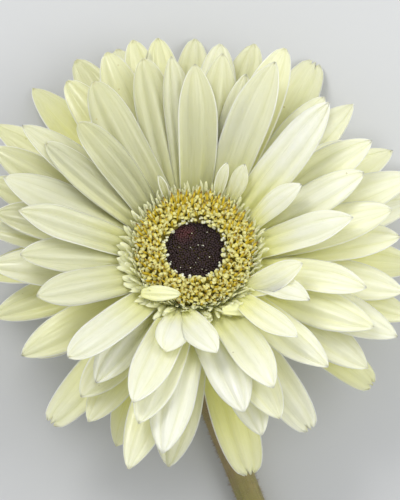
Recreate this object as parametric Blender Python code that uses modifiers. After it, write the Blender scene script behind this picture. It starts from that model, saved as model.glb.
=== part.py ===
"""A cut gerbera that lies on a flat surface with its head facing up.

Units are metres and +Z is up.  The flower head has a frame of its own: its z axis is the
axis of the disc, and it leans by HEAD_TILT towards +Y.  Ray petals stand in rows round the
disc; each petal is placed by the point its tip reaches in plan, seen from straight above.
"""
import math

import bmesh
import bpy
from mathutils import Euler, Vector

MM = 0.001

HEAD_TILT = math.radians(19.0)       # lean of the disc's axis away from the vertical, towards +Y
HEAD_CENTRE = Vector((-23.8, 156.2, 33.8)) * MM   # middle of the dark eye, above the surface
PETAL_LEAN = math.radians(9.0)       # petals on the +Y side stand this much higher, on the -Y side lower

PETAL_THICKNESS = 0.55 * MM
PETAL_CLAW = 0.44                    # width at the foot as a share of the full width
PETAL_WIDEST = 0.58                  # share of the length where the petal is widest
PETAL_TIP = 0.16                     # width left at the blunt tip
PETAL_CELLS_ACROSS = 4
PETAL_CELLS_ALONG = 7

# Rows from the outermost, lowest one to the innermost, highest one.
# foot radius, foot height, rise at the foot, rise at the tip, usual width, camber,
# and for each petal the bearing of its tip, its reach from the eye, and, if unusual, its width
# and how many degrees more its tip droops.
PETAL_ROWS = {
    "outer": (15.0, -9.2, 0.0, -27.0, 10.5, 1.0, (
        (90, 54, 10.5, 2.5), (57, 56, 11.0, 5), (27, 56), (356, 56), (323, 55.5, 10.0), (284, 57, 11.5),
        (248, 52), (213, 48), (186, 54), (161, 55), (135, 58.5, 10.5, 6), (111, 55, 10.5, 2.5))),
    "second": (15.0, -8.2, 6.0, -12.0, 10.5, 1.0, (
        (74, 54), (43, 54), (13, 57), (343, 56), (303, 52), (263, 53), (230, 55),
        (198, 52), (173, 54), (148, 59), (122, 56.5))),
    "third": (15.0, -6.2, 19.0, 1.0, 10.5, 1.0, (
        (66, 55), (253, 55), (232, 45), (153, 56))),
    "fourth": (15.0, -5.2, 26.0, 8.0, 10.5, 1.0, (
        (82, 50), (32, 52), (12, 50), (337, 48), (297, 46), (261, 50, 11.3), (233, 40, 9.5),
        (159, 51), (105, 50))),
    "fifth": (15.0, -4.2, 34.0, 14.0, 10.0, 1.0, (
        (90, 46.5), (67, 51, 10.8), (25, 46, 9.5), (348, 43, 8.5), (319, 43, 9.5),
        (287, 41, 10.8), (252, 44), (181, 43, 9.5), (144, 45.5, 8.0), (121, 49, 11.0))),
    "inner": (15.2, -3.2, 42.0, 22.0, 9.5, 1.0, (
        (132, 42.5, 8.5), (167, 44, 8.5), (196, 40), (220, 40, 8.8), (248, 39.5, 10.0), (300, 38),
        (12, 39.5, 8.5), (48, 49, 10.3))),
}

EYE_RADIUS = 6.8 * MM
RING_INNER = 7.2 * MM
RING_OUTER = 14.3 * MM
DISC_FLOOR = -1.9 * MM               # where the eye and the ring stand on the receptacle
RECEPTACLE_RADIUS = 14.3 * MM
INVOLUCRE_BOTTOM = -15.6 * MM
GAP = 0.35 * MM                      # clearance between neighbouring pieces
TURN_STEPS = 32

STEM_RADIUS = 3.55 * MM
STEM_START = 16.3 * MM               # depth of the stem's top under the eye, along the disc's axis
# Plan of the stem after the neck, from the eye, in mm: it leaves towards -Y and drifts to +X.
STEM_ROUTE = ((0.5, -27.0), (4.4, -40.0), (14.8, -66.0), (29.5, -105.0), (44.0, -147.0),
              (67.0, -222.0), (86.0, -297.0), (98.0, -366.0))
STEM_POINTS_PER_SPAN = 6


def remove_all_objects():
    for thing in list(bpy.data.objects):
        bpy.data.objects.remove(thing, do_unlink=True)


def make_material(name, colour, roughness):
    material = bpy.data.materials.new(name)
    material.use_nodes = True
    shader = material.node_tree.nodes["Principled BSDF"]
    shader.inputs["Base Color"].default_value = (*colour, 1.0)
    shader.inputs["Roughness"].default_value = roughness
    return material


def add_object(name, data, material, collection, parent=None):
    thing = bpy.data.objects.new(name, data)
    thing.data.materials.append(material)
    thing.parent = parent
    collection.objects.link(thing)
    return thing


def arc_run(first, last, share):
    """Run outwards and run upwards, per unit of length, of a stroke that bends evenly."""
    turn = last - first
    angle = first + turn * share
    return (math.sin(angle) - math.sin(first)) / turn, (math.cos(first) - math.cos(angle)) / turn


def petal_rises(row, azimuth, droop):
    """How steeply the petal rises at its foot and at its tip, in radians."""
    lean = PETAL_LEAN * math.sin(azimuth)
    return math.radians(row[2]) + lean, math.radians(row[3] - droop) + lean


def petal_place(row, bearing, reach, droop):
    """Azimuth and length, in the head's frame, of the petal whose tip lies there in plan."""
    foot_radius, foot_height = row[:2]
    tip_x = reach * math.cos(math.radians(bearing))
    tip_y = reach * math.sin(math.radians(bearing))
    azimuth = math.radians(bearing)
    height = foot_height
    length = reach
    for _ in range(40):
        run_out, run_up = arc_run(*petal_rises(row, azimuth, droop), 1.0)
        head_y = (tip_y - height * math.sin(HEAD_TILT)) / math.cos(HEAD_TILT)
        azimuth = math.atan2(head_y, tip_x)
        length = (math.hypot(tip_x, head_y) - foot_radius) / run_out
        height = foot_height + length * run_up
    return azimuth, length


def petal_half_width(share, width):
    """Half the petal's width at a share of its length: a claw, a broad blade, a rounded tip."""
    grown = math.sin(min(share / PETAL_WIDEST, 1.0) * math.pi / 2)
    body = PETAL_CLAW + (1.0 - PETAL_CLAW) * grown
    past = max(share - PETAL_WIDEST, 0.0) / (1.0 - PETAL_WIDEST)
    tip = PETAL_TIP + (1.0 - PETAL_TIP) * max(1.0 - past ** 2.2, 0.0) ** 0.7
    return width / 2 * body * tip


def petal_mesh(name, row, tip):
    foot_radius, foot_height, _, _, usual_width, camber = row[:6]
    width = tip[2] if len(tip) > 2 else usual_width
    droop = tip[3] if len(tip) > 3 else 0.0
    azimuth, length = petal_place(row, tip[0], tip[1], droop)
    rise_foot, rise_tip = petal_rises(row, azimuth, droop)
    outwards = Vector((math.cos(azimuth), math.sin(azimuth), 0.0))
    sideways = Vector((math.sin(azimuth), -math.cos(azimuth), 0.0))
    sheet = bmesh.new()
    bmesh.ops.create_grid(sheet, x_segments=PETAL_CELLS_ACROSS, y_segments=PETAL_CELLS_ALONG, size=1.0)
    for vert in sheet.verts:
        across = vert.co.x
        share = (vert.co.y + 1.0) / 2
        half = petal_half_width(share, width)
        run_out, run_up = arc_run(rise_foot, rise_tip, share)
        fall = camber * (2 * half / width) ** 2 * across ** 2
        height = foot_height + length * run_up - fall
        place = outwards * (foot_radius + length * run_out) + sideways * (half * across)
        place.z = height
        vert.co = place * MM
    mesh = bpy.data.meshes.new(name)
    sheet.to_mesh(mesh)
    sheet.free()
    mesh.shade_smooth()
    return mesh


def add_petals(collection, head, material):
    for row_name, row in PETAL_ROWS.items():
        for number, tip in enumerate(row[6], start=1):
            name = f"petal_{row_name}_{number:02d}"
            petal = add_object(name, petal_mesh(name, row, tip), material, collection, head)
            skin = petal.modifiers.new("thickness", "SOLIDIFY")
            skin.thickness = PETAL_THICKNESS
            skin.offset = 0.0


def add_turned(name, profile, material, collection, head):
    """A closed turned body from its outline, given top to bottom down the outside."""
    mesh = bpy.data.meshes.new(name)
    points = [(radius, 0.0, height) for radius, height in profile]
    mesh.from_pydata(points, [(i, i + 1) for i in range(len(points) - 1)], [])
    body = add_object(name, mesh, material, collection, head)
    turn = body.modifiers.new("turn", "SCREW")
    turn.angle = math.tau
    turn.steps = TURN_STEPS
    turn.render_steps = TURN_STEPS
    turn.use_merge_vertices = True
    turn.merge_threshold = 0.0001 * MM
    turn.use_smooth_shade = True
    return body


def add_disc(collection, head, materials):
    eye = [(0.0, 0.3 * MM), (2.6 * MM, 0.2 * MM), (5.0 * MM, -0.1 * MM), (EYE_RADIUS, -0.9 * MM),
           (EYE_RADIUS, DISC_FLOOR), (0.0, DISC_FLOOR)]
    add_turned("dark_eye", eye, materials["eye"], collection, head)

    ring = [(RING_INNER, 0.6 * MM), (9.0 * MM, 1.9 * MM), (11.0 * MM, 2.3 * MM), (13.0 * MM, 1.9 * MM),
            (RING_OUTER, 0.8 * MM), (RING_OUTER, DISC_FLOOR), (RING_INNER, DISC_FLOOR),
            (RING_INNER, 0.6 * MM)]
    add_turned("floret_ring", ring, materials["ring"], collection, head)

    fringe = [(14.7 * MM, 1.3 * MM), (16.4 * MM, 3.1 * MM), (18.2 * MM, 3.5 * MM), (18.4 * MM, 2.7 * MM),
              (16.9 * MM, 1.6 * MM), (14.7 * MM, -0.6 * MM), (14.7 * MM, 1.3 * MM)]
    add_turned("ray_fringe", fringe, materials["fringe"], collection, head)

    floor = DISC_FLOOR - GAP
    receptacle = [(0.0, floor), (13.6 * MM, floor), (RECEPTACLE_RADIUS, floor - 0.8 * MM),
                  (RECEPTACLE_RADIUS, -9.4 * MM), (12.0 * MM, -11.6 * MM), (7.0 * MM, -13.0 * MM),
                  (0.0, -13.4 * MM)]
    add_turned("receptacle", receptacle, materials["receptacle"], collection, head)

    involucre = [(14.9 * MM, -11.4 * MM), (16.4 * MM, -11.9 * MM), (15.4 * MM, -13.3 * MM),
                 (11.0 * MM, -14.9 * MM), (5.0 * MM, INVOLUCRE_BOTTOM), (0.0, INVOLUCRE_BOTTOM),
                 (0.0, -13.8 * MM), (7.1 * MM, -13.4 * MM), (12.3 * MM, -12.0 * MM),
                 (14.0 * MM, -10.9 * MM), (14.9 * MM, -11.4 * MM)]
    add_turned("involucre", involucre, materials["bract"], collection, head)


def smooth_through(points, per_span):
    """Points of a Catmull-Rom curve through the given ones."""
    padded = [points[0] * 2 - points[1], *points, points[-1] * 2 - points[-2]]
    curve = []
    for before, start, end, after in zip(padded, padded[1:], padded[2:], padded[3:]):
        for step in range(per_span):
            t = step / per_span
            curve.append(0.5 * (2 * start + (end - before) * t
                                + (2 * before - 5 * start + 4 * end - after) * t ** 2
                                + (3 * start - before - 3 * end + after) * t ** 3))
    curve.append(points[-1])
    return curve


def stem_route():
    """The neck turns from the disc's axis down to the surface, then the stem lies along it."""
    axis = Euler((-HEAD_TILT, 0.0, 0.0)).to_matrix() @ Vector((0.0, 0.0, 1.0))
    top = HEAD_CENTRE - axis * STEM_START
    fall = math.pi / 2 - HEAD_TILT
    bend = (top.z - STEM_RADIUS) / (1.0 - math.cos(fall))
    neck = []
    for step in range(4):
        angle = fall * step / 4
        run = bend * (math.sin(fall) - math.sin(fall - angle))
        drop = bend * (math.cos(fall - angle) - math.cos(fall))
        neck.append(Vector((top.x, top.y - run, top.z - drop)))
    lying = [Vector((HEAD_CENTRE.x + x * MM, HEAD_CENTRE.y + y * MM, STEM_RADIUS)) for x, y in STEM_ROUTE]
    return smooth_through(neck + lying, STEM_POINTS_PER_SPAN)


def add_stem(collection, material):
    curve = bpy.data.curves.new("stem", "CURVE")
    curve.dimensions = "3D"
    curve.bevel_depth = STEM_RADIUS
    curve.bevel_resolution = 3
    curve.use_fill_caps = True
    route = stem_route()
    spline = curve.splines.new("POLY")
    spline.points.add(len(route) - 1)
    for point, place in zip(spline.points, route):
        point.co = (*place, 1.0)
    add_object("stem", curve, material, collection)


def main():
    remove_all_objects()
    collection = bpy.data.collections.new("cut_gerbera")
    bpy.context.scene.collection.children.link(collection)
    head = bpy.data.objects.new("head", None)
    head.location = HEAD_CENTRE
    head.rotation_euler = (-HEAD_TILT, 0.0, 0.0)
    collection.objects.link(head)

    petal = make_material("petal", (0.86, 0.86, 0.66), 0.45)
    disc = {
        "eye": make_material("eye", (0.03, 0.012, 0.012), 0.7),
        "ring": make_material("ring", (0.75, 0.6, 0.16), 0.65),
        "fringe": make_material("fringe", (0.86, 0.84, 0.5), 0.5),
        "receptacle": make_material("receptacle", (0.6, 0.65, 0.3), 0.7),
        "bract": make_material("bract", (0.16, 0.24, 0.08), 0.6),
    }
    stem = make_material("stem", (0.24, 0.27, 0.09), 0.55)

    add_petals(collection, head, petal)
    add_disc(collection, head, disc)
    add_stem(collection, stem)


main()
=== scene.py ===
"""A cut cream gerbera that lies on a pale table with its head facing up.

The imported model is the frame: it fixes where every piece sits and how large it is.  This script
dresses it.  Each ray petal is a thin ribbed blade, the disc is hundreds of small florets, and the
stem is a hairy stalk.  Lengths in the dataclasses are millimetres unless their names say otherwise.
"""
from __future__ import annotations

import logging
import math
import random
from dataclasses import dataclass, field
from enum import Enum
from typing import Iterable, Sequence, Union

import bmesh
import bpy
import numpy as np
from mathutils import Euler, Matrix, Vector


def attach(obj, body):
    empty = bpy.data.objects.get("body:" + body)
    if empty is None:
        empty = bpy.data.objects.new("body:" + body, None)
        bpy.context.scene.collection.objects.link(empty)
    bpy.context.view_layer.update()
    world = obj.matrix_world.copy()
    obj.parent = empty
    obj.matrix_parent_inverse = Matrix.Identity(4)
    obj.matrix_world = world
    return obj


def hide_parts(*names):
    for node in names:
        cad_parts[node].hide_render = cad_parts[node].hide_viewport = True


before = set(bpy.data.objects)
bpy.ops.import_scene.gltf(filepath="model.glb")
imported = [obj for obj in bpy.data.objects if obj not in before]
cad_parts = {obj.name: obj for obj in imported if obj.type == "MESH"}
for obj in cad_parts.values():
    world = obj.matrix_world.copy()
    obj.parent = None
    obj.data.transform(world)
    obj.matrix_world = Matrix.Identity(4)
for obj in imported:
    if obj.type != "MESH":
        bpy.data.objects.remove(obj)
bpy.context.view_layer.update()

MM = 0.001
GOLDEN_ANGLE = math.pi * (3.0 - math.sqrt(5.0))
PETAL_SEED, DISC_SEED, BRACT_SEED, HAIR_SEED = 7, 11, 5, 17
LOG = logging.getLogger("gerbera")

Colour = tuple[float, float, float]
Socket = Union[bpy.types.NodeSocket, float, Sequence[float]]


# ---------------------------------------------------------------------------------------------
# Where the head is, and the small helpers that every piece uses
# ---------------------------------------------------------------------------------------------


@dataclass(frozen=True)
class Head:
    """The flower head's own frame: its z axis is the disc's axis, which leans towards +Y."""

    centre: Vector = field(default_factory=lambda: Vector((-23.8, 156.2, 33.8)) * MM)
    tilt: float = math.radians(19.0)
    petal_lean: float = math.radians(9.0)

    def matrix(self) -> Matrix:
        """The head's frame as a matrix in metres."""
        return Matrix.Translation(self.centre) @ Euler((-self.tilt, 0.0, 0.0)).to_matrix().to_4x4()

    def axis(self) -> Vector:
        """The disc's axis, pointing out of the flower's face."""
        return self.matrix().to_3x3() @ Vector((0.0, 0.0, 1.0))


HEAD = Head()


def dress(
    piece: bpy.types.Object,
    material: bpy.types.Material,
    stands_for: Iterable[str] = (),
) -> bpy.types.Object:
    """Give a piece its finish and fasten it to the frame.

    Args:
        piece: The new piece, already in place.
        material: Its procedural material.
        stands_for: The frame's nodes that the piece replaces.

    Returns:
        The same piece.
    """
    piece.data.materials.clear()
    piece.data.materials.append(material)
    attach(piece, "root")
    names = list(stands_for)
    if names:
        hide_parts(*names)
    LOG.info("%s: %d faces", piece.name, len(piece.data.polygons))
    return piece


def place(mesh: bpy.types.Mesh, in_head: bool = True) -> bpy.types.Object:
    """Put a mesh whose units are metres into the scene.

    Args:
        mesh: The mesh, named for its piece.
        in_head: True if its coordinates are in the head's frame.

    Returns:
        The new object.
    """
    if in_head:
        mesh.transform(HEAD.matrix())
    mesh.shade_smooth()
    piece = bpy.data.objects.new(mesh.name, mesh)
    bpy.context.scene.collection.objects.link(piece)
    return piece


def polar(radius: float, azimuth: float, height: float = 0.0) -> Vector:
    """A point from its distance and direction round the disc's axis, and its height."""
    return Vector((radius * math.cos(azimuth), radius * math.sin(azimuth), height))


def mesh_of(name: str, points: np.ndarray, faces: list[list[int]], outwards: bool = False) -> bpy.types.Mesh:
    """Make a mesh in metres.

    Args:
        name: The mesh's name.
        points: Its points in mm, one row each.
        faces: The numbers of each face's points.
        outwards: True to turn every face outwards.

    Returns:
        The mesh.
    """
    mesh = bpy.data.meshes.new(name)
    mesh.from_pydata((points * MM).tolist(), [], faces)
    if outwards:
        sheet = bmesh.new()
        sheet.from_mesh(mesh)
        bmesh.ops.recalc_face_normals(sheet, faces=sheet.faces)
        sheet.to_mesh(mesh)
        sheet.free()
    return mesh


def turned(name: str, profile: Sequence[tuple[float, float]], steps: int, closed: bool = False) -> bpy.types.Mesh:
    """Turn an outline round the disc's axis.

    Args:
        name: The mesh's name.
        profile: Radius and height of each point of the outline, in mm.
        steps: How many steps make the full turn.
        closed: True if the outline comes back to its first point.

    Returns:
        The mesh in metres.
    """
    sheet = bmesh.new()
    ring = [sheet.verts.new(Vector((radius, 0.0, height)) * MM) for radius, height in profile]
    edges = [sheet.edges.new(pair) for pair in zip(ring, ring[1:])]
    if closed:
        edges.append(sheet.edges.new((ring[-1], ring[0])))
    bmesh.ops.spin(
        sheet, geom=ring + edges, axis=(0, 0, 1), cent=(0, 0, 0), angle=math.tau, steps=steps, use_duplicate=False
    )
    bmesh.ops.remove_doubles(sheet, verts=sheet.verts, dist=0.01 * MM)
    bmesh.ops.recalc_face_normals(sheet, faces=sheet.faces)
    mesh = bpy.data.meshes.new(name)
    sheet.to_mesh(mesh)
    sheet.free()
    return mesh


def paint(mesh: bpy.types.Mesh, name: str, values: np.ndarray) -> None:
    """Store numbers on a mesh's points for its material to read.

    Args:
        mesh: The mesh.
        name: The attribute's name.
        values: One number or one 3-vector per point.
    """
    kind, key = ("FLOAT", "value") if values.ndim == 1 else ("FLOAT_VECTOR", "vector")
    layer = mesh.attributes.new(name, kind, "POINT")
    layer.data.foreach_set(key, np.ascontiguousarray(values, np.float32).ravel())


# ---------------------------------------------------------------------------------------------
# Blades: one builder for ray petals, straps and bracts
# ---------------------------------------------------------------------------------------------


class End(Enum):
    """How a blade ends: width left at its tip, depth of the notches between teeth, roundness."""

    POINTED = (0.03, 0.0, 0.78)
    ROUND = (0.07, 0.12, 0.62)
    TOOTHED = (0.28, 1.3, 0.52)


@dataclass(frozen=True)
class Blade:
    """One blade before it is bent: a claw, a broad middle and a tip, with lengthwise grooves.

    The blade starts at `foot`, runs towards `outwards`, and rises by an angle that changes evenly
    from `rise_foot` to `rise_tip`.  `bow` sweeps its middle sideways, `twist` turns its tip.
    """

    foot: Vector
    outwards: Vector
    length: float
    width: float
    rise_foot: float
    rise_tip: float
    camber: float = 1.0
    claw: float = 0.56
    widest: float = 0.58
    end: End = End.ROUND
    bow: float = 0.0
    twist: float = 0.0
    groove: float = 0.20
    ripple: float = 0.20
    curl: float = 0.0
    hood: float = 0.0
    thickness: float = 0.32
    along: int = 36
    across: int = 20
    tone: float = 0.0
    # how much painted shade darkens the blade's colour
    painted_shade: float = 0.0
    seed: float = 0.0

    def half_width(self, share: np.ndarray) -> np.ndarray:
        """Half the blade's width.

        Args:
            share: Shares of its length.

        Returns:
            The half width at each.
        """
        grown = np.sin(np.minimum(share / self.widest, 1.0) * math.pi / 2)
        body = self.claw + (1.0 - self.claw) * grown
        past = np.maximum(share - self.widest, 0.0) / (1.0 - self.widest)
        left, _, roundness = self.end.value
        tip = left + (1.0 - left) * np.maximum(1.0 - past**2.2, 0.0) ** roundness
        return self.width / 2 * body * tip

    def surface(self, across: np.ndarray, share: np.ndarray) -> np.ndarray:
        """Points of the blade's middle surface.

        Args:
            across: Places across it, from -1 to 1.
            share: Places along it, from 0 to 1.

        Returns:
            An array of points in mm.
        """
        teeth = self.end.value[1] * (1.0 - np.abs(np.cos(1.5 * math.pi * across))) * (1.0 - across**4)
        near_tip = np.clip((share - 0.84) / 0.16, 0.0, 1.0) ** 2
        run = share * self.length - teeth * near_tip * self.width / 10.0
        turn = self.rise_tip - self.rise_foot
        turn = turn if abs(turn) > 1e-4 else 1e-4
        angle = self.rise_foot + turn * run / self.length
        out = self.length * (np.sin(angle) - math.sin(self.rise_foot)) / turn
        up = self.length * (math.cos(self.rise_foot) - np.cos(angle)) / turn

        half = self.half_width(share)
        fullness = 2 * half / self.width
        open_part = np.sin(np.clip(share * 1.02, 0.0, 1.0) * math.pi) ** 0.5
        wobble = 0.05 * np.sin(5.0 * share + 9.0 * self.seed)
        grooves = sum(np.exp(-(((across - at - wobble) / 0.19) ** 2)) for at in (-0.42, 0.38))
        folds = 0.26 * np.cos(9.5 * across + 4.0 * wobble + 9.0 * self.seed)
        wave = np.sin(2 * math.pi * (share * (1.1 + self.seed) + 3.7 * self.seed) + 1.5 * across)
        near_end = np.clip((share - 0.72) / 0.28, 0.0, 1.0)
        lift = (
            -self.camber * fullness**2 * across**2 * (1.0 + 0.5 * near_end)
            - self.groove * (grooves + folds) * open_part
            + self.ripple * wave * (0.25 + 0.75 * np.abs(across)) * share
            + self.curl * np.abs(across) ** 4 * open_part
            - self.hood * near_end**2
        )
        lean = self.twist * share**1.5
        sweep = self.bow * np.sin(math.pi * share)
        side = half * across * np.cos(lean) + sweep
        lift = lift + half * across * np.sin(lean)

        o = np.array(self.outwards.normalized())
        s = np.cross(o, (0.0, 0.0, 1.0))
        z = np.array((0.0, 0.0, 1.0))
        return (
            np.array(self.foot)
            + np.multiply.outer(out - lift * np.sin(angle), o)
            + np.multiply.outer(side, s)
            + np.multiply.outer(up + lift * np.cos(angle), z)
        )


def blade_mesh(name: str, blades: Sequence[Blade]) -> bpy.types.Mesh:
    """Build blades as closed thin solids in one mesh, in metres, in the head's frame.

    Args:
        name: The mesh's name.
        blades: The blades to build.

    Returns:
        The mesh, with the point attributes `blade` (across, along, tone) and `kin` (a number
        that differs from blade to blade, and how much painted shade darkens the blade).
    """
    points: list[np.ndarray] = []
    faces: list[np.ndarray] = []
    marks: list[np.ndarray] = []
    kin: list[np.ndarray] = []
    count = 0
    for blade in blades:
        share, across = np.meshgrid(
            np.linspace(0.0, 1.0, blade.along + 1), np.linspace(-1.0, 1.0, blade.across + 1), indexing="ij"
        )
        middle = blade.surface(across, share)
        du = np.gradient(middle, axis=0)
        dv = np.gradient(middle, axis=1)
        normal = np.cross(du, dv)
        normal /= np.linalg.norm(normal, axis=-1, keepdims=True) + 1e-12
        thin = (0.55 + 0.45 * np.sqrt(np.clip(1.0 - across**4, 0.0, 1.0)))[..., None]
        half = normal * blade.thickness / 2 * thin
        top, under = middle - half, middle + half
        rows, cols = share.shape
        number = count + np.arange(rows * cols).reshape(rows, cols)
        below = number + rows * cols
        quads = [
            np.stack([number[:-1, :-1], number[:-1, 1:], number[1:, 1:], number[1:, :-1]], -1).reshape(-1, 4),
            np.stack([below[:-1, :-1], below[1:, :-1], below[1:, 1:], below[:-1, 1:]], -1).reshape(-1, 4),
        ]
        rim = np.concatenate([number[0, :], number[1:, -1], number[-1, -2::-1], number[-2:0:-1, 0]])
        after = np.roll(rim, -1)
        low = rim + rows * cols
        quads.append(np.stack([after, rim, low, np.roll(low, -1)], -1))
        points += [top.reshape(-1, 3), under.reshape(-1, 3)]
        faces += quads
        mark = np.stack([across, share, np.full_like(share, blade.tone)], -1).reshape(-1, 3)
        marks += [mark, mark]
        kin.append(np.full((2 * rows * cols, 3), (blade.seed, blade.painted_shade, 0.0)))
        count += 2 * rows * cols
    mesh = mesh_of(name, np.concatenate(points), np.concatenate(faces).tolist(), outwards=True)
    paint(mesh, "blade", np.concatenate(marks))
    paint(mesh, "kin", np.concatenate(kin))
    return mesh


# ---------------------------------------------------------------------------------------------
# Ray petals
# ---------------------------------------------------------------------------------------------


@dataclass(frozen=True)
class Tip:
    """One ray petal: where its tip lies in plan, seen from above the eye, and its own character.

    `swing` is how far its foot stands round the disc from its tip, in degrees.
    """

    bearing: float
    reach: float
    width: float = 0.0
    droop: float = 0.0
    end: End = End.POINTED
    swing: float = 0.0


@dataclass(frozen=True)
class PetalRow:
    """A row of ray petals round the disc.

    `tips` stand for the frame's nodes petal_NAME_01 and so on, `more` are petals the frame leaves
    to this script, and `tone` runs from 0 for clean ivory to 1 for yellow-green, partly the row's own
    tone and partly painted glow of light through the petals above.
    """

    name: str
    foot_radius: float
    foot_height: float
    rise_foot: float
    rise_tip: float
    width: float
    tone: float
    tips: tuple[Tip, ...] = ()
    more: tuple[Tip, ...] = ()
    groove: float = 0.75
    claw: float = 0.56
    spread: float = 1.0

    @staticmethod
    def painted_side_shade(azimuth: float) -> float:
        """How much painted shade darkens the petals' colour on one side of the head, centred at 138 degrees."""
        return max(0.0, math.cos(azimuth - math.radians(138.0))) ** 0.4

    def rises(self, azimuth: float, droop: float) -> tuple[float, float]:
        """How steeply a petal rises at its foot and its tip, in radians."""
        lean = HEAD.petal_lean * math.sin(azimuth)
        return math.radians(self.rise_foot) + lean, math.radians(self.rise_tip - droop) + lean

    def stand(self, tip: Tip) -> tuple[float, float]:
        """Find a petal from its tip's place in plan.

        Args:
            tip: The petal.

        Returns:
            Its azimuth in the head's frame in radians, and its length in mm.
        """
        reach = tip.reach * self.spread
        tip_x = reach * math.cos(math.radians(tip.bearing))
        tip_y = reach * math.sin(math.radians(tip.bearing))
        azimuth = math.radians(tip.bearing)
        height = self.foot_height
        length = reach
        for _ in range(40):
            first, last = self.rises(azimuth, tip.droop)
            turn = last - first
            run_out = (math.sin(last) - math.sin(first)) / turn
            run_up = (math.cos(first) - math.cos(last)) / turn
            head_y = (tip_y - height * math.sin(HEAD.tilt)) / math.cos(HEAD.tilt)
            azimuth = math.atan2(head_y, tip_x)
            length = (math.hypot(tip_x, head_y) - self.foot_radius) / run_out
            height = self.foot_height + length * run_up
        return azimuth, length

    def blade(self, tip: Tip, seed: float) -> Blade:
        """Shape one petal of the row.

        Args:
            tip: The petal.
            seed: A number from 0 to 1 that is the petal's own.

        Returns:
            The petal as a blade.
        """
        azimuth, length = self.stand(tip)
        first, last = self.rises(azimuth, tip.droop)
        run_out = (math.sin(last) - math.sin(first)) / (last - first)
        reach = polar(1.0, azimuth) * (self.foot_radius + length * run_out)
        foot = polar(1.0, azimuth + math.radians(tip.swing)) * self.foot_radius
        outwards = reach - foot
        length = outwards.length / run_out
        foot.z = self.foot_height
        width = tip.width or self.width
        return Blade(
            foot=foot,
            outwards=outwards,
            length=length,
            width=width,
            claw=self.claw,
            rise_foot=first,
            rise_tip=last,
            camber=(0.9 + 0.9 * math.sin(11.0 * seed) ** 2) * width / 10.5,
            end=tip.end,
            bow=0.9 * math.sin(53.0 * seed),
            twist=math.radians(16.0 * (seed - 0.5)),
            groove=self.groove * (0.7 + 0.6 * seed),
            ripple=0.15 + 0.30 * seed,
            curl=0.35 + 0.55 * math.sin(21.0 * seed),
            hood=0.5 + 0.7 * seed,
            tone=min(1.0, max(0.0, self.tone + 0.2 * math.sin(37.0 * seed))),
            # painted shade: the petals on one side, the inner rows most, are coloured darker as if in shade
            painted_shade=self.painted_side_shade(azimuth) * (1.0 - 0.7 * self.tone) * (0.8 + 0.2 * math.cos(29.0 * seed)),
            seed=seed,
        )


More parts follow.
